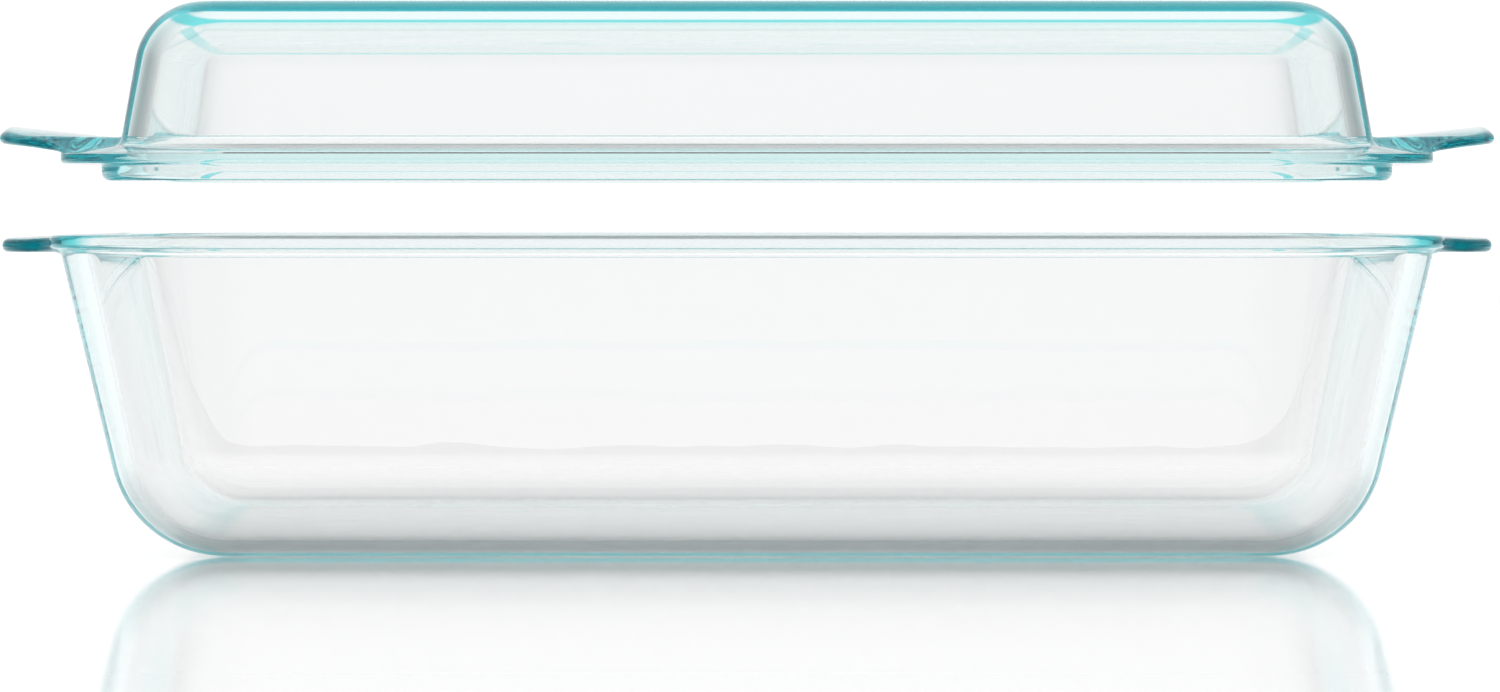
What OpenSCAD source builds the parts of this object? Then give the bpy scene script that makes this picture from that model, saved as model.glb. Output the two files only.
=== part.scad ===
// Covered baking dish in clear pressed glass: a deep rectangular dish and the domed lid that drops into its mouth.
// Millimetres, +Z up, +X along the dish. The origin is the centre of the base, on the surface that it stands on.
// Both pieces are one section carried round a rounded rectangle, with the same four corner axes.

/* [Dish] */
// Length over the rim, without the handles
rim_length = 366; // [300:1:440]
// Width over the rim
rim_width = 240; // [200:1:290]
// Height from the base to the top of the rim
dish_height = 84.5; // [60:0.5:110]
// Corner radius of the rim, seen from above
corner_radius = 48; // [40:1:60]
// Thickness of the rim's edge
rim_thick = 3.8; // [3:0.1:6]
// Width of the rim's top face, from its outer edge to the mouth
rim_land = 8.7; // [7.5:0.1:12]
// How far the rim stands out from the wall under it
rim_overhang = 2.7; // [2.6:0.1:5]
// Slope of the outer wall from the vertical, in degrees
wall_draft = 13.4; // [6:0.1:16]
// Thickness of the wall where it meets the base
wall_thick = 5; // [4:0.1:6.5]
// Thickness of the base
base_thick = 4.6; // [4:0.1:7]
// Outer radius between the base and the wall
base_round = 30; // [12:0.5:34]

/* [Dish handles] */
// Reach of each handle beyond the rim
dish_handle_reach = 16.3; // [12:0.1:30]
// Width of each handle where it leaves the rim
dish_handle_root = 116; // [70:1:120]
// Width of each handle at its tip
dish_handle_tip = 100; // [60:1:108]
// Thickness of each handle
dish_handle_thick = 3.8; // [3:0.1:6]
// How far the top of each handle lies under the top of the rim
dish_handle_drop = 1.1; // [0.3:0.1:3]
// Radius of the hollow between the handle's underside and the wall
dish_handle_fillet = 4.7; // [2:0.1:8]

/* [Lid] */
// Height of the lid above its seat on the rim
lid_height = 42.6; // [25:0.2:60]
// How far the lid's flange ends inside the edge of the rim
flange_inset = 3; // [1:0.1:5]
// Width of the flange, from its edge to the foot of the dome
flange_width = 15.5; // [14:0.1:20]
// Thickness of the flange
flange_thick = 4.5; // [3.5:0.1:6]
// Gap all round between the locating lip and the dish's mouth
lip_clear = 5; // [3:0.1:6]
// Depth of the locating lip under the flange
lip_depth = 4.5; // [3:0.1:8]
// Width of the locating lip at its lower end
lip_width = 7.5; // [5:0.1:9]
// Slope of the dome's wall from the vertical, in degrees
lid_draft = 10; // [4:0.1:14]
// Thickness of the dome
lid_glass = 5.6; // [3.5:0.1:6]
// Outer radius between the dome's wall and its flat top
lid_top_round = 18; // [10:0.5:20]

/* [Lid handles] */
// Reach of each handle beyond the flange
lid_handle_reach = 20.1; // [14:0.1:32]
// Width of each handle where it leaves the flange
lid_handle_root = 116; // [70:1:120]
// Width of each handle at its tip
lid_handle_tip = 100; // [60:1:108]
// Thickness of each handle
lid_handle_thick = 5; // [4:0.1:7]
// Height of the handle's underside over the seat, at the flange's edge
lid_handle_rise = 3.5; // [2.5:0.1:4]
// Upward slope of the handles, in degrees
lid_handle_tilt = 5.6; // [0:0.1:10]

/* [Rest] */
// Height of the lid over its seat on the rim when it is held above the dish
lid_lift = 18.4; // [0.3:0.1:120]

/* [Hidden] */
$fn = 96;
glass_tint = [0.62, 0.85, 0.86, 0.5];
// Steps in each rounded corner of a section or an outline
round_steps = 10;
// Rounding of the glass edges
edge_round = 1.4;
rim_low_round = 1;
rim_hollow_round = 1.8;
mouth_round = 2;
lip_tip_round = 2.2;
lip_root_round = 0.8;
flange_edge_round = 0.9;
dome_foot_round = 3;
throat_round = 3;
handle_corner_round = 16;
handle_root_round = 9;
// How much flat base and flat top is left beside each corner axis
least_flat = 0.2;
// How far a handle or a hollow's filling reaches into the glass that it grows from
root_depth = 2;

// The corner axes
axis_x = rim_length / 2 - corner_radius;
axis_y = rim_width / 2 - corner_radius;

// Dish section, as distances from a corner axis
rim_under = dish_height - rim_thick;
wall_top = corner_radius - rim_overhang;
wall_slope = tan(wall_draft);
wall_foot = wall_top - rim_under * wall_slope;
base_radius = min(base_round, (wall_foot - least_flat) / tan((90 - wall_draft) / 2));
mouth = corner_radius - rim_land;
inner_foot = wall_foot + base_thick * wall_slope - wall_thick / cos(wall_draft);
inner_draft = atan((mouth - inner_foot) / (dish_height - base_thick));
inner_fit = (inner_foot - least_flat) / tan((90 - inner_draft) / 2);
inner_radius = min(base_radius - base_thick, inner_fit);

// Lid section, as distances from the same axes and heights over its seat
flange_edge = corner_radius - flange_inset;
dome_foot = flange_edge - flange_width;
dome_slope = tan(lid_draft);
dome_top = dome_foot - (lid_height - flange_thick) * dome_slope;
dome_radius = min(lid_top_round, (dome_top - least_flat) / tan((90 - lid_draft) / 2));
dome_side = lid_glass / cos(lid_draft);
hollow_height = lid_height - lid_glass;
hollow_foot = dome_foot - dome_side;
hollow_top = hollow_foot - (hollow_height - flange_thick) * dome_slope;
lip_outer = mouth - lip_clear;
lip_inner = lip_outer - lip_width;

// Points that round off corner b, on the way from a to c, at radius r. A radius of 0 keeps the corner.
function bend(a, b, c, r) =
    let (u = (a - b) / norm(a - b))
    let (v = (c - b) / norm(c - b))
    let (half = acos(u * v) / 2)
    let (centre = b + (u + v) / norm(u + v) * r / sin(half))
    let (start = b + u * r / tan(half) - centre)
    let (first = atan2(start.y, start.x))
    let (side = cross(v, u) > 0 ? 1 : -1)
    let (step = side * (180 - 2 * half) / round_steps)
    r == 0 ? [b] : [for (i = [0 : round_steps]) centre + r * [cos(first + i * step), sin(first + i * step)]];

// A closed outline from corners [x, y, radius]
function outline(corners) =
    let (n = len(corners))
    let (at = [for (p = corners) [p.x, p.y]])
    [for (i = [0 : n - 1]) each bend(at[(i + n - 1) % n], at[i], at[(i + 1) % n], corners[i].z)];

dish_section = outline([
    [0, 0, 0],
    [wall_foot, 0, base_radius],
    [wall_top, rim_under, rim_hollow_round],
    [corner_radius, rim_under, rim_low_round],
    [corner_radius, dish_height, edge_round],
    [mouth, dish_height, mouth_round],
    [inner_foot, base_thick, inner_radius],
    [0, base_thick, 0]
]);

lid_section = outline([
    [0, hollow_height, 0],
    [hollow_top, hollow_height, dome_radius - lid_glass],
    [hollow_foot, flange_thick, throat_round],
    [lip_inner, -lip_depth, lip_tip_round],
    [lip_outer, -lip_depth, lip_tip_round],
    [lip_outer, 0, lip_root_round],
    [flange_edge, 0, flange_edge_round],
    [flange_edge, flange_thick, flange_edge_round],
    [dome_foot, flange_thick, dome_foot_round],
    [dome_top, lid_height, dome_radius],
    [0, lid_height, 0]
]);

// A section carried round the rounded rectangle
module carried_round(section) {
    for (quarter = [0, 90, 180, 270]) {
        along_x = quarter % 180 == 0;
        reach = along_x ? axis_x : axis_y;
        side = along_x ? axis_y : axis_x;
        rotate([0, 0, quarter]) {
            translate([reach, side, 0]) rotate_extrude(angle = 90) polygon(section);
            translate([reach, 0, 0]) rotate([90, 0, 0]) linear_extrude(2 * side, center = true) polygon(section);
        }
    }
}

// The flat sheet between the four corner axes
module flat_sheet(low, high) {
    translate([-axis_x, -axis_y, low]) cube([2 * axis_x, 2 * axis_y, high - low]);
}

// One handle's plan: start is inside the glass, edge is where it leaves it
module handle_plan(start, edge, reach, root, tip) {
    spread = root / 2 + handle_root_round;
    polygon(outline([
        [start, -spread, 0],
        [edge, -spread, 0],
        [edge, -root / 2, handle_root_round / 2],
        [edge + reach, -tip / 2, handle_corner_round],
        [edge + reach, tip / 2, handle_corner_round],
        [edge, root / 2, handle_root_round / 2],
        [edge, spread, 0],
        [start, spread, 0]
    ]));
}

// The rounded hollow under one of the dish's handles, where it meets the wall
module handle_hollow(underside) {
    foot = axis_x + wall_top - (rim_under - underside) * wall_slope;
    down = dish_handle_fillet * 2;
    section = outline([
        [foot - root_depth, underside + root_depth / 2, 0],
        [foot - root_depth - down * wall_slope, underside - down, 0],
        [foot - down * wall_slope, underside - down, 0],
        [foot, underside, dish_handle_fillet],
        [foot + down, underside, 0],
        [foot + down, underside + root_depth / 2, 0]
    ]);
    rotate([90, 0, 0]) linear_extrude(dish_handle_tip, center = true) polygon(section);
}

module dish_handle() {
    rim_edge = rim_length / 2;
    top = dish_height - dish_handle_drop;
    underside = top - dish_handle_thick;
    translate([0, 0, underside])
        linear_extrude(dish_handle_thick)
            handle_plan(
                rim_edge - rim_land / 2,
                rim_edge,
                dish_handle_reach,
                dish_handle_root,
                dish_handle_tip
            );
    handle_hollow(underside);
}

module lid_handle() {
    flange_end = axis_x + flange_edge;
    translate([flange_end, 0, lid_handle_rise])
        rotate([0, -lid_handle_tilt, 0])
            linear_extrude(lid_handle_thick)
                handle_plan(
                    -flange_width,
                    0,
                    lid_handle_reach,
                    lid_handle_root,
                    lid_handle_tip
                );
}

module dish() {
    color(glass_tint) {
        carried_round(dish_section);
        flat_sheet(0, base_thick);
        for (turn = [0, 180]) rotate([0, 0, turn]) dish_handle();
    }
}

module lid() {
    color(glass_tint)
        translate([0, 0, dish_height + lid_lift]) {
            carried_round(lid_section);
            flat_sheet(hollow_height, lid_height);
            for (turn = [0, 180]) rotate([0, 0, turn]) lid_handle();
        }
}

dish();
lid();
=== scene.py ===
"""Looks of a covered glass baking dish: the dish, its domed lid held above it, a white floor and soft light.

Both pieces are pressed glass, and each is made by one rule: a section carried round a rounded rectangle, with
its outer edge drawn out into a handle at each end. Metres, +Z up, +X from handle to handle, as in the frame.
"""

import math

import bpy
from mathutils import Matrix, Vector


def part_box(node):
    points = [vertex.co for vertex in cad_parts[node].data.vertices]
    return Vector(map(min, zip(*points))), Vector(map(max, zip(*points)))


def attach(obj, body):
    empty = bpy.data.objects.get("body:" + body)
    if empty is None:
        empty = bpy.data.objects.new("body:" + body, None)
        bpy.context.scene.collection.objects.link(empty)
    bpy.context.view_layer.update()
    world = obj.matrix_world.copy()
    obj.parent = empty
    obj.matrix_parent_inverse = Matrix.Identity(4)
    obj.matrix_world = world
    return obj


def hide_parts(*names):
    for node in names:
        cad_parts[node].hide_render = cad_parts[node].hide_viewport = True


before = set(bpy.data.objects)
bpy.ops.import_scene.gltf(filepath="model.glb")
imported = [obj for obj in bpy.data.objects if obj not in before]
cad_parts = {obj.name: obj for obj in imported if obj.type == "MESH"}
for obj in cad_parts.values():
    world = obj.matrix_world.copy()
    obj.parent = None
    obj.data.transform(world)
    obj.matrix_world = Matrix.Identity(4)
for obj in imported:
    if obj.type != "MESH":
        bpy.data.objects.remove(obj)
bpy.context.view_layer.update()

_, DISH_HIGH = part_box("dish")  # each piece's highest corner
_, LID_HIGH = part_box("lid")

# ---------------------------------------------------------------- sizes shared by both pieces
CORNER = 0.048  # radius of the rim's corners, seen from above
HANDLE_REACH = 0.0163  # of the dish's handles, past the rim
RIM_X = DISH_HIGH.x - HANDLE_REACH
RIM_Y = DISH_HIGH.y
AXIS_X = RIM_X - CORNER  # the corners turn about four upright axes at (+-AXIS_X, +-AXIS_Y)
AXIS_Y = RIM_Y - CORNER

# ---------------------------------------------------------------- dish
DISH_TOP = DISH_HIGH.z
RIM_THICK = 0.0038
RIM_LAND = 0.0087  # width of the rim's top face
RIM_OVERHANG = 0.0027
RIM_HOLLOW_ROUND = 0.0018  # between the rim's underside and the wall
RIM_LOW_ROUND = 0.001
RIM_TOP_ROUND = 0.0014
MOUTH_ROUND = 0.002
WALL_SLOPE = math.tan(math.radians(13.4))
WALL_THICK = 0.005
BASE_THICK = 0.0046
BASE_ROUND = 0.030
DISH_HANDLE_THICK = 0.0038
DISH_HANDLE_DROP = 0.0011  # from the rim's top face to the handle's
DISH_HANDLE_HOLLOW = 0.0047  # radius between the handle's underside and the wall
DISH_HANDLE_LOW_ROUND = 0.0016
DISH_HANDLE_TOP_ROUND = 0.0018
DISH_HANDLE_CROWN = 0.0004  # how much lower the upper edge is at the handle's sides than in the middle

# ---------------------------------------------------------------- lid, heights over its seat
LID_TOP = 0.0426
SEAT = LID_HIGH.z - LID_TOP
FLANGE_INSET = 0.003
FLANGE_WIDTH = 0.0155
FLANGE_THICK = 0.0045
FLANGE_EDGE_ROUND = 0.0009
FLANGE = CORNER - FLANGE_INSET  # the flange's edge, from the corner axes
STEP_SHARE = 0.44  # two places up the flange's edge, between which the handle's underside grows out of it
LOW_SHARE = 0.54
STEP_HALF = 0.0002  # half lengths of the straight stretches that stand there for rounded corners
LOW_HALF = 0.0001
LIP_CLEAR = 0.005
LIP_DEPTH = 0.0045
LIP_WIDTH = 0.0075
LIP_TIP_ROUND = 0.0022
LIP_ROOT_ROUND = 0.0008
THROAT_ROUND = 0.003  # inside, where the dome's wall turns into the lip
DOME_SLOPE = math.tan(math.radians(10))
DOME_THICK = 0.0056
DOME_ROUND = 0.018
DOME_FOOT_ROUND = 0.003
LID_HANDLE_SLOPE = math.tan(math.radians(5.6))
LID_HANDLE_THICK = 0.005
LID_HANDLE_RISE = 0.0035  # of the handle's underside over the seat, at the flange's edge
LID_HANDLE_REACH = LID_HIGH.x - (RIM_X - FLANGE_INSET)
LID_HANDLE_STEP = 0.0006  # from the flange's edge out to the corner under the handle
LID_HANDLE_STEP_ROUND = 0.0012
LID_HANDLE_LOW_ROUND = 0.0018
LID_HANDLE_TOP_ROUND = 0.0026
LID_HANDLE_CROWN = 0.0020  # how much lower the upper edge is at the sides

# ---------------------------------------------------------------- handles, seen from above
HANDLE_ROOT = 0.116
HANDLE_TIP = 0.100
HANDLE_ROOT_ROUND = 0.009
HANDLE_TIP_ROUND = 0.016
HANDLE_BOW = 0.0020  # how far the middle of the tip swells past its ends
HANDLE_BLEND = 0.010  # length over which the rim's section turns into the handle's

# ---------------------------------------------------------------- the glass
GLASS_IOR = 1.49
DISH_CLEAR = (0.971, 0.933, 0.931, 1.0)  # what each surface lets through, warm enough to balance a thin wall
DISH_TAKES = 8.0  # strongest absorption, per metre
LID_CLEAR = (0.992, 0.934, 0.930, 1.0)
LID_TAKES = 15.0
GLASS_PASSES = (0.0, 0.84, 0.87, 1.0)  # how far that absorption spares red, green and blue
EDGE_GLASS = (0.03, 0.56, 0.59, 1.0)  # what a surface lets through where much glass lies behind it
SHALLOW_GLASS = 0.004  # length of glass behind a surface up to which it stays clear
DEEP_GLASS = 0.028  # length of glass behind a surface at which its colour is full
WAVES = 38.0  # cells of the surfaces' waviness, per metre
WAVE_STRENGTH = 0.08
WAVE_HEIGHT = 0.0005

# what the colour takes for the length of glass behind a surface
UNDERSIDE_SHARE = 0.55  # how far a handle's underside counts as its edge
CORNER_WAY = 0.026  # how much more lies behind the corners next to the ends, along the end's strip
SHOULDER_WAY = 0.035  # what lies straight in from the shoulder of the lid's flat top
SHOULDER_FROM = 0.42  # where on the flat top's thickness that starts, and over how much of it it grows
SHOULDER_GROWS = 0.25
SHOULDER_TO = 0.97  # where it ends, and over how much it fades
SHOULDER_FADES = 0.12
HANDLE_STARTS = 0.0005  # distance past the rim's or the flange's edge from which it is the handle's
ROW_SLACK = 0.0001  # distance within which a row of the section counts as outermost
LEAST_LEAN = 0.001  # keeps ways through the glass finite where the edge runs along them

# ---------------------------------------------------------------- fineness of the meshes
BIG_ARC = 24  # steps in a section's rounded corners
SMALL_ARC = 7
WALL_SPAN = 12  # steps between them
HANDLE_SPAN = 8
EDGE_SPAN = 3
SHEET_SPAN = 8  # steps over the flat sheets
SEAM_SPAN = 2  # steps from a flat sheet to the first rounded corner
ROOT_ARC = 12  # steps in a handle's outline: its corners and the stretches between them
TIP_ARC = 18
END_SPAN = 4
FLANK_SPAN = 5
TIP_SPAN = 16
CORNER_STEPS = 36  # stations round a corner and along a long side
SIDE_STEPS = 54
STRAIGHT = math.radians(89.5)  # half of the angle from which a corner counts as a straight stretch
MERGE_WITHIN = 2e-6

# ---------------------------------------------------------------- floor, light and camera
FLOOR_HALF = 8.0
FLOOR_GAP = 0.0003  # keeps the floor off the base, so that the two don't flicker
FLOOR_GLOSS = 0.07  # roughness of its mirror image
FLOOR_IOR = 1.45
STUDIO_LIGHT = 1.1
PANELS = 4.0  # bright panels round the object
GAP_DEPTH = 0.7  # how much dimmer it is between them
GAP_FADE = 1.3  # how fast the gaps fade above and below the horizon
MIRROR_DIMMED = 0.15
LENS = 222
SENSOR = 36
CAMERA_PLACE = Vector((0.0008, -2.5, 0.0895))
CAMERA_AIM = Vector((0.0008, 0, 0.054))
BOUNCES = 96


# ================================================================ outlines
def rounded(before, corner, after, radius, steps):
    """Points round a corner, from tangent to tangent.

    On a straight stretch they lie within radius of the corner.
    """
    back = (before - corner).normalized()
    on = (after - corner).normalized()
    half = back.angle(on) / 2
    if half > STRAIGHT:
        return [corner + on * radius * (2 * i / steps - 1) for i in range(steps + 1)]
    centre = corner + (back + on).normalized() * radius / math.sin(half)
    start = corner + back * radius / math.tan(half) - centre
    turn = (math.pi - 2 * half) * (1 if on.cross(back) > 0 else -1)
    return [centre + Matrix.Rotation(turn * i / steps, 2) @ start for i in range(steps + 1)]


def eased(i, steps):
    """A share from 0 to 1 that takes small steps near both ends."""
    return 0.5 - 0.5 * math.cos(math.pi * i / steps)


def smooth(share):
    """A share held between 0 and 1, level at both ends."""
    share = min(1.0, max(0.0, share))
    return share * share * (3 - 2 * share)


def section(corners, edge, sheet=None):
    """The rows of a section, from the middle of one flat sheet to the middle of the other.

    Each corner is (distance, height, radius, arc steps, steps to the next, carried by the edge). A distance
    is from the corner axis, and the edge lies at distance edge. sheet is the lower and the upper height of a
    flat top that a level way through the shoulder runs along. A row is three triples:
    (distance, height, share of the edge),
    (inset from the edge, height there, share of the flat sheet) and
    (share of the upper edge, length of glass straight in from the row, how far it faces out).
    """
    at = [Vector(c[:2]) for c in corners]
    edge_heights = [c[1] for c in corners if c[5]]
    low, high = edge_heights[0], edge_heights[-1]
    rows = []
    first, last = corners[0], corners[-1]
    for i in range(SHEET_SPAN + 1):
        rows.append(((first[0], first[1], 0), (0, 0, 1 - eased(i, SHEET_SPAN)), (0, 0, 0)))
    tail, tail_on_edge, span = at[0], False, first[4]
    for i in range(1, len(corners) - 1):
        _, _, radius, arc_steps, next_span, on_edge = corners[i]
        arc = rounded(at[i - 1], at[i], at[i + 1], radius, arc_steps)
        rows += joined(tail, tail_on_edge, arc[0], on_edge, span, edge)
        rows += [carried(p, on_edge, edge) for p in arc]
        tail, tail_on_edge, span = arc[-1], on_edge, next_span
    rows += joined(tail, tail_on_edge, at[-1], False, span, edge)
    for i in range(SHEET_SPAN + 1):
        rows.append(((last[0], last[1], 0), (0, 0, eased(i, SHEET_SPAN)), (0, 0, 0)))
    upper = [smooth((row[1][1] - low) / (high - low)) for row in rows]
    way = [0 if sheet is None else shoulder_way(row[0][1], *sheet) for row in rows]
    outermost = max(row[0][0] for row in rows if row[0][2] == 0)
    out = [faces_out(row[0][0], row[0][2], outermost) for row in rows]
    return [(row[0], row[1], third) for row, third in zip(rows, zip(upper, way, out))]


def faces_out(distance, share, outermost):
    """How far a row counts as outer edge: wholly on the edge, partly on the underside that leads to it."""
    if share == 1:
        return 1
    if distance < outermost - ROW_SLACK:
        return 0
    return 1 if share == 0 else UNDERSIDE_SHARE


def shoulder_way(height, under, top):
    """How much of the flat top lies straight in from its shoulder at that height, less towards both faces."""
    up = (height - under) / (top - under)
    grown = smooth((up - SHOULDER_FROM) / SHOULDER_GROWS)
    return SHOULDER_WAY * grown * smooth((SHOULDER_TO - up) / SHOULDER_FADES)


def carried(point, on_edge, edge):
    """The row of one point that keeps to the wall or to the edge."""
    if on_edge:
        return (0, 0, 1), (edge - point.x, point.y, 0), (0, 0, 0)
    return (point.x, point.y, 0), (0, 0, 0), (0, 0, 0)


def joined(a, a_on_edge, b, b_on_edge, steps, edge):
    """The rows strictly between two points."""
    rows = []
    for i in range(1, steps):
        share = eased(i, steps)
        if a_on_edge == b_on_edge:
            rows.append(carried(a.lerp(b, share), a_on_edge, edge))
        elif b_on_edge:
            rows.append(((a.x, a.y, share), (edge - b.x, b.y, 0), (0, 0, 0)))
        else:
            rows.append(((b.x, b.y, 1 - share), (edge - a.x, a.y, 0), (0, 0, 0)))
    return rows


def end_outline(edge, reach):
    """Plan of the edge at the +X end, from the -Y corner axis to the +Y one, with the handle drawn out.

    Each corner is (x, y, radius, arc steps, steps to the next).
    """
    tip = edge + reach - HANDLE_BOW
    half_root = HANDLE_ROOT / 2
    half_tip = HANDLE_TIP / 2
    corners = [
        (edge, -AXIS_Y, 0, 0, END_SPAN),
        (edge, -half_root, HANDLE_ROOT_ROUND, ROOT_ARC, FLANK_SPAN),
        (tip, -half_tip, HANDLE_TIP_ROUND, TIP_ARC, TIP_SPAN),
        (tip, half_tip, HANDLE_TIP_ROUND, TIP_ARC, FLANK_SPAN),
        (edge, half_root, HANDLE_ROOT_ROUND, ROOT_ARC, END_SPAN),
        (edge, AXIS_Y, 0, 0, 0),
    ]
    at = [Vector(c[:2]) for c in corners]
    points = [at[0]]
    for i in range(1, len(corners)):
        if i < len(corners) - 1:
            arc = rounded(at[i - 1], at[i], at[i + 1], corners[i][2], corners[i][3])
        else:
            arc = [at[i]]
        start, steps = points[-1], corners[i - 1][4]
        points += [start.lerp(arc[0], k / steps) for k in range(1, steps)] + arc
    for p in points:
        inside = max(0.0, 1 - (p.y / half_tip) ** 2)
        p.x += HANDLE_BOW * inside * (p.x - edge) / (tip - edge)
    return points


def corner_stations(quarter, edge):
    """The stations strictly inside a corner of the +Y side, as stations() gives them.

    Quarter 0 is at the +X end and quarter 1 at the -X end.
    """
    end = 1 - 2 * quarter
    corner = Vector((end * AXIS_X, AXIS_Y))
    spine = Vector((end * (AXIS_X - AXIS_Y), 0))
    made = []
    for i in range(1, CORNER_STEPS):
        angle = math.pi / 2 * (quarter + i / CORNER_STEPS)
        out = Vector((math.cos(angle), math.sin(angle)))
        made.append((corner, out, corner + out * edge, spine, 0))
    return made


def stations(edge, reach):
    """The stations round a piece.

    Each is (corner axis point, outward, edge point, spine point, share of the handle). edge is the edge's
    distance from the corner axes and reach the handle's reach past it. The spine is the stretch of the long
    middle line that the flat sheets close on.
    """
    half = []
    for p in end_outline(AXIS_X + edge, reach):
        axis = Vector((AXIS_X, p.y))
        handle = smooth((HANDLE_ROOT / 2 + HANDLE_BLEND / 2 - abs(p.y)) / HANDLE_BLEND)
        half.append((axis, Vector((1, 0)), p, Vector((AXIS_X - AXIS_Y, 0)), handle))
    half += corner_stations(0, edge)
    for i in range(SIDE_STEPS + 1):
        x = AXIS_X * (1 - 2 * i / SIDE_STEPS)
        axis = Vector((x, AXIS_Y))
        spine = Vector((max(AXIS_Y - AXIS_X, min(AXIS_X - AXIS_Y, x)), 0))
        half.append((axis, Vector((0, 1)), axis + Vector((0, edge)), spine, 0))
    half += corner_stations(1, edge)
    return half + [(-a, -n, -e, -s, h) for a, n, e, s, h in half]


# ================================================================ helper meshes that the node tree reads
def points_object(name, columns):
    """A mesh of bare points at "position", with the other columns {name: (type, values)} as attributes."""
    mesh = bpy.data.meshes.new(name)
    mesh.from_pydata(columns.pop("position"), [], [])
    for key, (kind, values) in columns.items():
        layer = mesh.attributes.new(key, kind, "POINT")
        field = "vector" if kind == "FLOAT_VECTOR" else "value"
        for item, value in zip(layer.data, values):
            setattr(item, field, value)
    return bpy.data.objects.new(name, mesh)


def section_object(name, rows):
    """A section's rows as a mesh of points: the three triples are its position, "edge" and "upper"."""
    return points_object(
        name,
        {
            "position": [row[0] for row in rows],
            "edge": ("FLOAT_VECTOR", [row[1] for row in rows]),
            "upper": ("FLOAT_VECTOR", [row[2] for row in rows]),
        },
    )


def glass_behind(point, outward, edge):
    """How much glass lies behind the edge at a point of its plan, straight in from it."""
    past_edge = abs(point.x) - (AXIS_X + edge)
    if past_edge < HANDLE_STARTS:
        turned = math.atan2(max(0.0, abs(point.y) - AXIS_Y), abs(point.x) - AXIS_X)
        more = math.sin(4 * turned) if turned < math.pi / 4 else 0.0
        return RIM_LAND + CORNER_WAY * more
    across = (HANDLE_ROOT / 2 + abs(point.y)) / max(abs(outward.y), LEAST_LEAN)
    along = (past_edge + RIM_LAND) / max(abs(outward.x), LEAST_LEAN)
    return min(across, along)


def stations_object(name, edge, reach, crown):
    """The stations as a mesh of points.

    crown is how much the upper edge falls from the handle's middle to its sides.
    """
    rows = stations(edge, reach)
    count = len(rows)
    edges = [row[2] for row in rows]
    outward = []
    for i in range(count):
        along = (edges[(i + 1) % count] - edges[i - 1]).normalized()
        outward.append(Vector((along.y, -along.x)))
    behind = [glass_behind(e, o, edge) for e, o in zip(edges, outward)]
    fall = [crown * min(1.0, (2 * e.y / HANDLE_TIP) ** 2) for e in edges]
    return points_object(
        name,
        {
            "position": [row[0].to_3d() for row in rows],
            "outward": ("FLOAT_VECTOR", [row[1].to_3d() for row in rows]),
            "edge": ("FLOAT_VECTOR", [e.to_3d() for e in edges]),
            "edge_outward": ("FLOAT_VECTOR", [o.to_3d() for o in outward]),
            "spine": ("FLOAT_VECTOR", [row[3].to_3d() for row in rows]),
            "handle": ("FLOAT", [row[4] for row in rows]),
            "behind": ("FLOAT", behind),
            "fall": ("FLOAT", fall),
        },
    )


# ================================================================ the node tree
class Tree:
    """Short calls for adding and linking nodes in a node tree."""

    def __init__(self, group):
        self.group = group

    def named_input(self, name, kind):
        self.group.interface.new_socket(name, in_out="INPUT", socket_type=kind)

    def node(self, kind, links=None, **settings):
        """A node with its settings, and links or values for its inputs by name or number."""
        made = self.group.nodes.new(kind)
        for key, value in settings.items():
            setattr(made, key, value)
        for key, value in (links or {}).items():
            socket = made.inputs[key]
            if isinstance(value, bpy.types.NodeSocket):
                self.group.links.new(value, socket)
            else:
                socket.default_value = value
        return made

    def math(self, operation, a, b=0.0):
        return self.node("ShaderNodeMath", {0: a, 1: b}, operation=operation).outputs[0]

    def vector(self, operation, a, b):
        key = 3 if operation == "SCALE" else 1
        return self.node("ShaderNodeVectorMath", {0: a, key: b}, operation=operation).outputs[0]

    def dot(self, a, b):
        return self.node("ShaderNodeVectorMath", {0: a, 1: b}, operation="DOT_PRODUCT").outputs["Value"]

    def split(self, vector):
        return self.node("ShaderNodeSeparateXYZ", {0: vector}).outputs

    def upright(self, height):
        return self.node("ShaderNodeCombineXYZ", {2: height}).outputs[0]

    def between(self, a, b, share):
        mixed = self.node("ShaderNodeMix", {0: share}, data_type="VECTOR", clamp_factor=False)
        self.group.links.new(a, mixed.inputs[4])
        self.group.links.new(b, mixed.inputs[5])
        return mixed.outputs[1]

    def attribute(self, name, kind="FLOAT_VECTOR"):
        return self.node("GeometryNodeInputNamedAttribute", {0: name}, data_type=kind).outputs[0]

    def sampled(self, geometry, value, index, kind="FLOAT_VECTOR"):
        """The value that a field has at the point with that number."""
        links = {0: geometry, 1: value, 2: index}
        return self.node("GeometryNodeSampleIndex", links, data_type=kind, domain="POINT").outputs[0]


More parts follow.
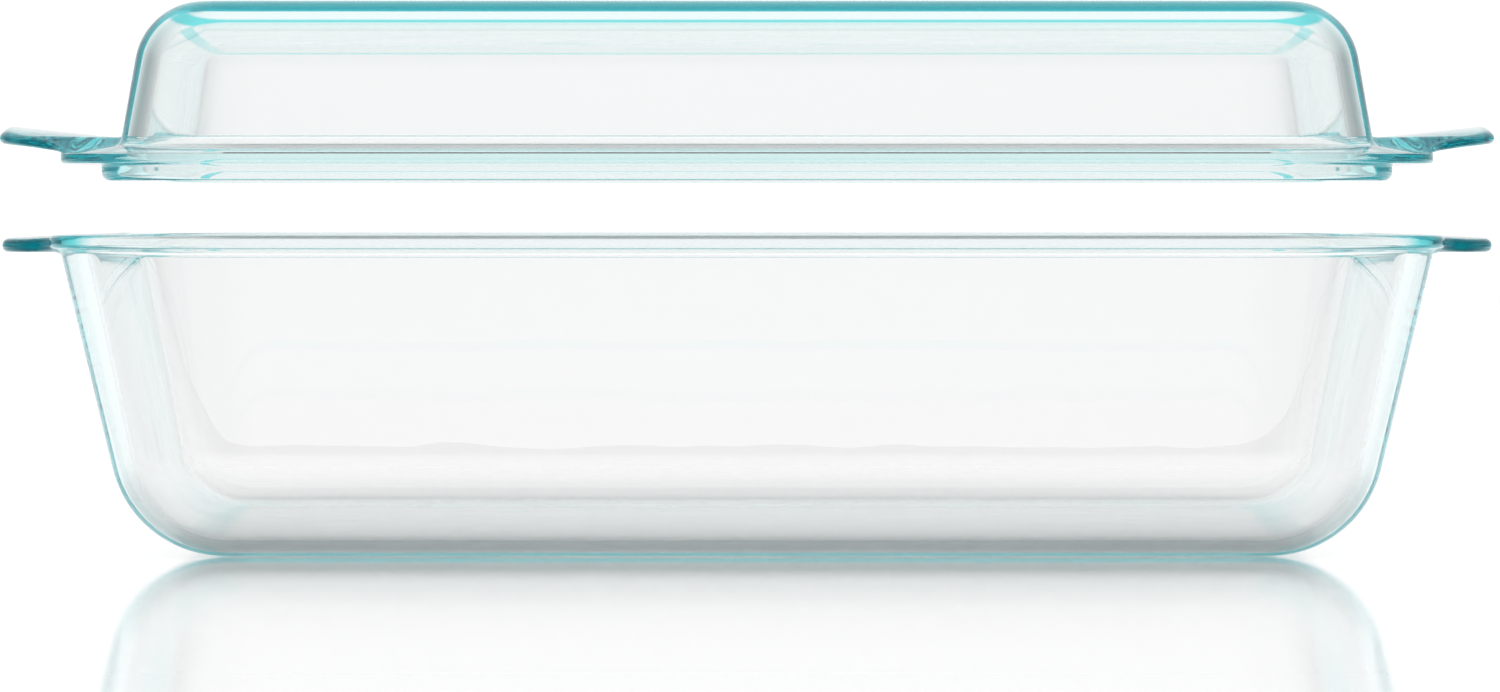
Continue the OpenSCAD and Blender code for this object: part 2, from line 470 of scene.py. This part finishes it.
def pressed_glass_tree():
    """Carries a section round the stations, mixing the rim's and the handle's by each station's share."""
    tree = Tree(bpy.data.node_groups.new("pressed_glass", "GeometryNodeTree"))
    tree.named_input("Geometry", "NodeSocketGeometry")
    tree.group.interface.new_socket("Geometry", in_out="OUTPUT", socket_type="NodeSocketGeometry")
    tree.named_input("Rim section", "NodeSocketObject")
    tree.named_input("Handle section", "NodeSocketObject")
    tree.named_input("Edge distance", "NodeSocketFloat")
    tree.named_input("Handle slope", "NodeSocketFloat")
    tree.named_input("Base height", "NodeSocketFloat")
    tree.named_input("Glass", "NodeSocketMaterial")
    inputs = tree.node("NodeGroupInput").outputs
    path = inputs["Geometry"]
    rim = tree.node("GeometryNodeObjectInfo", {"Object": inputs["Rim section"]}).outputs["Geometry"]
    handle = tree.node("GeometryNodeObjectInfo", {"Object": inputs["Handle section"]}).outputs["Geometry"]
    around = tree.node("GeometryNodeAttributeDomainSize", {0: path}).outputs["Point Count"]
    across = tree.node("GeometryNodeAttributeDomainSize", {0: rim}).outputs["Point Count"]
    closed = tree.math("ADD", around, 1.0)
    grid = tree.node("GeometryNodeMeshGrid", {"Vertices X": closed, "Vertices Y": across}).outputs["Mesh"]
    index = tree.node("GeometryNodeInputIndex").outputs[0]
    turn = tree.math("FLOOR", tree.math("DIVIDE", tree.math("ADD", index, 0.5), across))
    station = tree.math("MODULO", turn, around)
    row = tree.math("SUBTRACT", index, tree.math("MULTIPLY", turn, across))
    place = tree.node("GeometryNodeInputPosition").outputs[0]
    axis = tree.sampled(path, place, station)
    outward = tree.sampled(path, tree.attribute("outward"), station)
    edge = tree.sampled(path, tree.attribute("edge"), station)
    edge_outward = tree.sampled(path, tree.attribute("edge_outward"), station)
    spine = tree.sampled(path, tree.attribute("spine"), station)
    handle_share = tree.sampled(path, tree.attribute("handle", "FLOAT"), station, "FLOAT")
    behind = tree.sampled(path, tree.attribute("behind", "FLOAT"), station, "FLOAT")
    fall = tree.sampled(path, tree.attribute("fall", "FLOAT"), station, "FLOAT")
    edge_way = tree.dot(tree.vector("SUBTRACT", edge, axis), outward)
    reach = tree.math("SUBTRACT", edge_way, inputs["Edge distance"])
    lift = tree.math("MULTIPLY", reach, inputs["Handle slope"])

    def laid(geometry):
        """Where the section's row falls at this station."""
        distance, height, share = tree.split(tree.sampled(geometry, place, row))
        inset, edge_height, sheet = tree.split(tree.sampled(geometry, tree.attribute("edge"), row))
        upper = tree.split(tree.sampled(geometry, tree.attribute("upper"), row))[0]
        root = tree.between(axis, spine, sheet)
        wall = tree.vector("ADD", root, tree.vector("SCALE", outward, distance))
        wall = tree.vector("ADD", wall, tree.upright(height))
        rim_edge = tree.vector("SUBTRACT", edge, tree.vector("SCALE", edge_outward, inset))
        fallen = tree.math("MULTIPLY", upper, fall)
        edge_height = tree.math("SUBTRACT", tree.math("ADD", edge_height, lift), fallen)
        rim_edge = tree.vector("ADD", rim_edge, tree.upright(edge_height))
        return tree.between(wall, rim_edge, share)

    rim_place = laid(rim)
    handle_place = laid(handle)
    shape = tree.between(rim_place, handle_place, handle_share)
    shape = tree.vector("ADD", shape, tree.upright(inputs["Base height"]))
    body = tree.node("GeometryNodeSetPosition", {"Geometry": grid, "Position": shape}).outputs[0]
    _, shoulder, out = tree.split(tree.sampled(rim, tree.attribute("upper"), row))
    behind = tree.math("MAXIMUM", tree.math("MULTIPLY", behind, out), shoulder)
    depth = {"Geometry": body, "Name": "glass_behind", "Value": behind}
    body = tree.node("GeometryNodeStoreNamedAttribute", depth, data_type="FLOAT", domain="POINT").outputs[0]
    merged = {"Geometry": body, "Distance": MERGE_WITHIN}
    body = tree.node("GeometryNodeMergeByDistance", merged).outputs[0]
    body = tree.node("GeometryNodeSetShadeSmooth", {0: body}).outputs[0]
    body = tree.node("GeometryNodeRealizeInstances", {0: body}).outputs[0]
    body = tree.node("GeometryNodeSetMaterial", {"Geometry": body, "Material": inputs["Glass"]}).outputs[0]
    tree.node("NodeGroupOutput", {0: body})
    return tree.group


def pressed_piece(name, tree, values):
    """A plain mesh object from the tree, run on its stations with the given named inputs."""
    source = values.pop("Stations")
    bpy.context.scene.collection.objects.link(source)
    modifier = source.modifiers.new("pressed", "NODES")
    modifier.node_group = tree
    for item in tree.interface.items_tree:
        if item.in_out == "INPUT" and item.name in values:
            modifier[item.identifier] = values[item.name]
    bpy.context.view_layer.update()
    graph = bpy.context.evaluated_depsgraph_get()
    mesh = bpy.data.meshes.new_from_object(source.evaluated_get(graph))
    mesh.name = name
    piece = bpy.data.objects.new(name, mesh)
    bpy.context.scene.collection.objects.link(piece)
    bpy.data.objects.remove(source)
    return piece


# ================================================================ sections
def dish_sections():
    """The dish's section at the rim and at the handles."""
    under = DISH_TOP - RIM_THICK
    wall_top = CORNER - RIM_OVERHANG
    wall_foot = wall_top - under * WALL_SLOPE
    inner_foot = wall_foot + BASE_THICK * WALL_SLOPE - WALL_THICK * math.hypot(1, WALL_SLOPE)
    mouth = CORNER - RIM_LAND
    handle_top = DISH_TOP - DISH_HANDLE_DROP
    handle_under = handle_top - DISH_HANDLE_THICK
    tip = CORNER + HANDLE_REACH

    def made(lower, hollow_round, edge, low_round, upper, top_round):
        wall = wall_top - (under - lower) * WALL_SLOPE
        return section(
            [
                (0, 0, 0, 0, SEAM_SPAN, False),
                (wall_foot, 0, BASE_ROUND, BIG_ARC, WALL_SPAN, False),
                (wall, lower, hollow_round, SMALL_ARC, HANDLE_SPAN, False),
                (edge, lower, low_round, SMALL_ARC, EDGE_SPAN, True),
                (edge, upper, top_round, SMALL_ARC, HANDLE_SPAN, True),
                (mouth, DISH_TOP, MOUTH_ROUND, SMALL_ARC, WALL_SPAN, False),
                (inner_foot, BASE_THICK, BASE_ROUND - BASE_THICK, BIG_ARC, SEAM_SPAN, False),
                (0, BASE_THICK, 0, 0, 0, False),
            ],
            edge,
        )

    rim = made(under, RIM_HOLLOW_ROUND, CORNER, RIM_LOW_ROUND, DISH_TOP, RIM_TOP_ROUND)
    handle = made(
        handle_under, DISH_HANDLE_HOLLOW, tip, DISH_HANDLE_LOW_ROUND, handle_top, DISH_HANDLE_TOP_ROUND
    )
    return rim, handle


def lid_sections():
    """The lid's section at the rim and at the handles, with heights over the seat."""
    foot = FLANGE - FLANGE_WIDTH
    top = foot - (LID_TOP - FLANGE_THICK) * DOME_SLOPE
    side = DOME_THICK * math.hypot(1, DOME_SLOPE)
    hollow_top = LID_TOP - DOME_THICK
    hollow_foot = foot - side
    hollow_side = hollow_foot - (hollow_top - FLANGE_THICK) * DOME_SLOPE
    lip = CORNER - RIM_LAND - LIP_CLEAR
    tip = FLANGE + LID_HANDLE_REACH
    tip_top = LID_HANDLE_RISE + LID_HANDLE_THICK
    root_top = tip_top - FLANGE_WIDTH * LID_HANDLE_SLOPE
    root = foot - (root_top - FLANGE_THICK) * DOME_SLOPE

    def made(step, low, high, dome_foot):
        return section(
            [
                (0, hollow_top, 0, 0, SEAM_SPAN, False),
                (hollow_side, hollow_top, DOME_ROUND - DOME_THICK, BIG_ARC, WALL_SPAN, False),
                (hollow_foot, FLANGE_THICK, THROAT_ROUND, SMALL_ARC, EDGE_SPAN, False),
                (lip - LIP_WIDTH, -LIP_DEPTH, LIP_TIP_ROUND, SMALL_ARC, EDGE_SPAN, False),
                (lip, -LIP_DEPTH, LIP_TIP_ROUND, SMALL_ARC, EDGE_SPAN, False),
                (lip, 0, LIP_ROOT_ROUND, SMALL_ARC, EDGE_SPAN, False),
                (FLANGE, 0, FLANGE_EDGE_ROUND, SMALL_ARC, EDGE_SPAN, False),
                (*step, SMALL_ARC, HANDLE_SPAN, False),
                (*low, SMALL_ARC, EDGE_SPAN, True),
                (*high, SMALL_ARC, HANDLE_SPAN, True),
                (*dome_foot, DOME_FOOT_ROUND, SMALL_ARC, WALL_SPAN, False),
                (top, LID_TOP, DOME_ROUND, BIG_ARC, SEAM_SPAN, False),
                (0, LID_TOP, 0, 0, 0, False),
            ],
            low[0],
            (hollow_top, LID_TOP),
        )

    rim = made(
        (FLANGE, FLANGE_THICK * STEP_SHARE, STEP_HALF),
        (FLANGE, FLANGE_THICK * LOW_SHARE, LOW_HALF),
        (FLANGE, FLANGE_THICK, FLANGE_EDGE_ROUND),
        (foot, FLANGE_THICK),
    )
    handle = made(
        (FLANGE + LID_HANDLE_STEP, LID_HANDLE_RISE, LID_HANDLE_STEP_ROUND),
        (tip, LID_HANDLE_RISE, LID_HANDLE_LOW_ROUND),
        (tip, tip_top, LID_HANDLE_TOP_ROUND),
        (root, root_top),
    )
    return rim, handle


# ================================================================ materials
def material(name):
    made = bpy.data.materials.new(name)
    made.use_nodes = True
    return made, Tree(made.node_tree), made.node_tree.nodes["Principled BSDF"]


def pressed_glass(name, clear, takes):
    """Clear glass with the faint waves of a pressing, blue-green along long ways through it."""
    made, tree, shader = material(name)
    behind = tree.node("ShaderNodeAttribute", attribute_name="glass_behind").outputs["Fac"]
    span = {"Value": behind, "From Min": SHALLOW_GLASS, "From Max": DEEP_GLASS}
    deep = tree.node("ShaderNodeMapRange", span, interpolation_type="SMOOTHSTEP")
    colour = tree.node("ShaderNodeMix", {"Factor": deep.outputs[0]}, data_type="RGBA")
    colour.inputs[6].default_value = clear
    colour.inputs[7].default_value = EDGE_GLASS
    tree.group.links.new(colour.outputs[2], shader.inputs["Base Color"])
    tree.group.links.new(colour.outputs[2], shader.inputs["Specular Tint"])
    shader.inputs["Roughness"].default_value = 0.0
    shader.inputs["IOR"].default_value = GLASS_IOR
    shader.inputs["Transmission Weight"].default_value = 1.0
    place = tree.node("ShaderNodeTexCoord").outputs["Object"]
    waves = tree.node("ShaderNodeTexNoise", {"Vector": place, "Scale": WAVES, "Detail": 1.0}).outputs[0]
    pressed = {"Height": waves, "Strength": WAVE_STRENGTH, "Distance": WAVE_HEIGHT}
    bump = tree.node("ShaderNodeBump", pressed).outputs[0]
    tree.group.links.new(bump, shader.inputs["Normal"])
    inside = tree.node("ShaderNodeVolumeAbsorption", {"Color": GLASS_PASSES, "Density": takes})
    tree.group.links.new(inside.outputs[0], tree.group.nodes["Material Output"].inputs["Volume"])
    return made


def floor_paint():
    """A white matt surface with a soft mirror image in it at low angles."""
    made, tree, shader = material("floor_paint")
    shader.inputs["Base Color"].default_value = (1.0, 1.0, 1.0, 1)
    shader.inputs["Roughness"].default_value = 1.0
    shader.inputs["Specular IOR Level"].default_value = 0.0
    gloss = tree.node("ShaderNodeBsdfAnisotropic", {"Color": (1, 1, 1, 1), "Roughness": FLOOR_GLOSS})
    grazing = tree.node("ShaderNodeFresnel", {"IOR": FLOOR_IOR}).outputs[0]
    both = tree.node("ShaderNodeMixShader", {0: grazing, 1: shader.outputs[0], 2: gloss.outputs[0]})
    tree.group.links.new(both.outputs[0], tree.group.nodes["Material Output"].inputs["Surface"])
    return made


def studio():
    """Soft white light from all round, with dimmer gaps between its panels, seen as streaks in the glass.

    What the camera sees directly is plain white. What the glass mirrors sharply is dimmer than the rest.
    """
    world = bpy.data.worlds.new("studio")
    world.use_nodes = True
    tree = Tree(world.node_tree)
    x, y, z = tree.split(tree.node("ShaderNodeTexCoord").outputs["Generated"])
    wave = tree.math("COSINE", tree.math("MULTIPLY", tree.math("ARCTAN2", y, x), PANELS))
    gap = tree.math("MULTIPLY", tree.math("SUBTRACT", 1.0, wave), 0.5)
    steep = tree.math("MULTIPLY", tree.math("ABSOLUTE", z), GAP_FADE)
    level = tree.math("MAXIMUM", tree.math("SUBTRACT", 1.0, steep))
    ray = tree.node("ShaderNodeLightPath").outputs
    shade = tree.math("MULTIPLY", tree.math("MULTIPLY", gap, level), GAP_DEPTH)
    panels = tree.math("SUBTRACT", 1.0, tree.math("MULTIPLY", shade, ray["Is Singular Ray"]))
    mirrored = tree.math("MULTIPLY", ray["Is Singular Ray"], ray["Is Reflection Ray"])
    kept = tree.math("SUBTRACT", 1.0, tree.math("MULTIPLY", mirrored, MIRROR_DIMMED))
    shown = tree.math("MAXIMUM", tree.math("MULTIPLY", panels, kept), ray["Is Camera Ray"])
    background = tree.group.nodes["Background"]
    background.inputs["Color"].default_value = (1, 1, 1, 1)
    tree.group.links.new(tree.math("MULTIPLY", shown, STUDIO_LIGHT), background.inputs["Strength"])
    return world


# ================================================================ the object
tree = pressed_glass_tree()
dish_rim, dish_handle = dish_sections()
dish = pressed_piece(
    "dish_glass",
    tree,
    {
        "Stations": stations_object("dish_stations", CORNER, HANDLE_REACH, DISH_HANDLE_CROWN),
        "Rim section": section_object("dish_rim_section", dish_rim),
        "Handle section": section_object("dish_handle_section", dish_handle),
        "Edge distance": CORNER,
        "Handle slope": 0.0,
        "Base height": 0.0,
        "Glass": pressed_glass("dish_glass", DISH_CLEAR, DISH_TAKES),
    },
)
lid_rim, lid_handle = lid_sections()
lid = pressed_piece(
    "lid_glass",
    tree,
    {
        "Stations": stations_object("lid_stations", FLANGE, LID_HANDLE_REACH, LID_HANDLE_CROWN),
        "Rim section": section_object("lid_rim_section", lid_rim),
        "Handle section": section_object("lid_handle_section", lid_handle),
        "Edge distance": FLANGE,
        "Handle slope": LID_HANDLE_SLOPE,
        "Base height": SEAT,
        "Glass": pressed_glass("lid_glass", LID_CLEAR, LID_TAKES),
    },
)
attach(dish, "dish")
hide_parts("dish")
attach(lid, "lid")
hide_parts("lid")

# ================================================================ floor, light and camera
floor_mesh = bpy.data.meshes.new("floor")
floor_corners = [(-1, -1), (1, -1), (1, 1), (-1, 1)]
floor_points = [(x * FLOOR_HALF, y * FLOOR_HALF, -FLOOR_GAP) for x, y in floor_corners]
floor_mesh.from_pydata(floor_points, [], [(0, 1, 2, 3)])
floor = bpy.data.objects.new("floor", floor_mesh)
bpy.context.scene.collection.objects.link(floor)
floor_mesh.materials.append(floor_paint())

bpy.context.scene.world = studio()

camera_data = bpy.data.cameras.new("camera")
camera_data.lens = LENS
camera_data.sensor_width = SENSOR
camera = bpy.data.objects.new("camera", camera_data)
bpy.context.scene.collection.objects.link(camera)
camera.location = CAMERA_PLACE
camera.rotation_euler = (CAMERA_AIM - CAMERA_PLACE).to_track_quat("-Z", "Y").to_euler()
bpy.context.scene.camera = camera

scene = bpy.context.scene
scene.view_settings.view_transform = "Standard"
scene.cycles.max_bounces = BOUNCES
scene.cycles.transmission_bounces = BOUNCES
scene.cycles.glossy_bounces = BOUNCES
